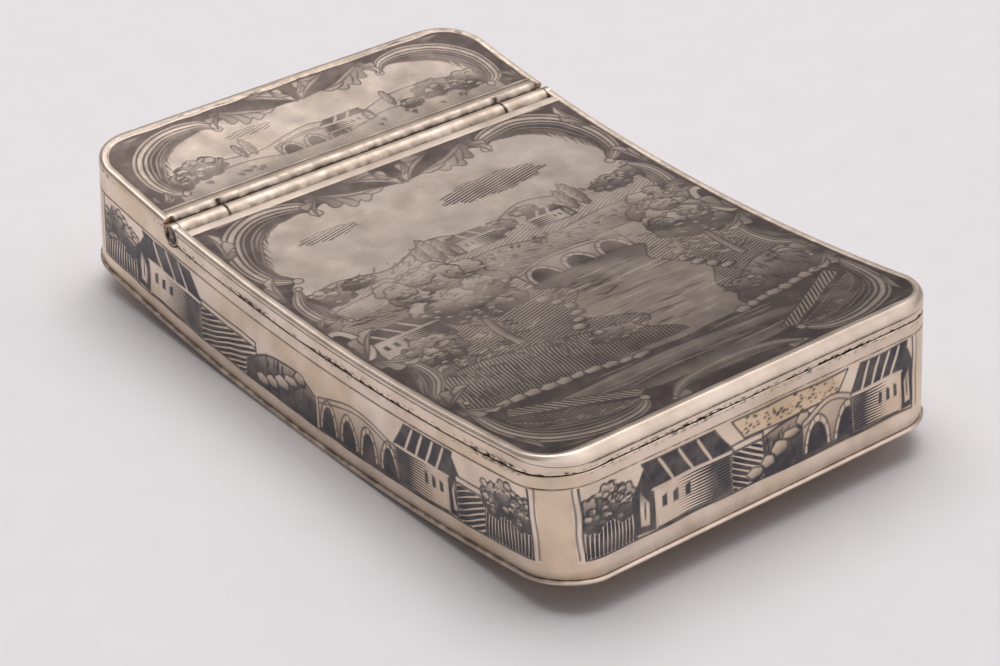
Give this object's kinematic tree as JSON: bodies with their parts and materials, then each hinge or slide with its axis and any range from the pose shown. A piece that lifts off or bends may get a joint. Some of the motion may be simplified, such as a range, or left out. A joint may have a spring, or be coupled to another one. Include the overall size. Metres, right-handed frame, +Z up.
{
  "type": "snuff box",
  "caption": "Shallow curved metal snuff box with a hinged lid, a short fixed rear deck, a flush tube hinge and rounded edge mouldings.",
  "frame": {"origin": "middle of the base where it touches the table", "axes": "+Z up, +Y from the lid's free edge towards the fixed rear deck, +X across the box, to the right when looking along +Y"},
  "size_m": [0.0556, 0.0898, 0.0186],
  "materials": {
    "wall_silver": "worn silver with niello inlay",
    "niello_plate": "silver plate with niello inlay, rubbed",
    "bright_silver": "polished silver, rubbed bright",
    "gilt_inside": "gilt wash",
    "pin_wire": "drawn wire"
  },
  "bodies": {
    "body": {"body_wall": "wall_silver", "base_plate": "wall_silver", "inner_bezel": "gilt_inside", "rear_deck": "niello_plate", "deck_moulding": "bright_silver", "deck_hinge_rib": "bright_silver", "hinge_trough": "gilt_inside", "knuckle_left": "bright_silver", "knuckle_right": "bright_silver", "hinge_pin": "pin_wire", "hinge_plug_left": "bright_silver", "hinge_plug_right": "bright_silver"},
    "lid": {"lid_plate": "niello_plate", "lid_moulding": "bright_silver", "lid_skirt": "wall_silver", "lid_hinge_strip": "bright_silver", "knuckle_centre": "bright_silver"}
  },
  "joints": [
    {"name": "lid_hinge", "type": "hinge", "parent": "body", "child": "lid", "pos_m": [0, 0.02405, 0.01474], "axis": [-1, 0, 0], "range_deg": [0, 95]}
  ]
}
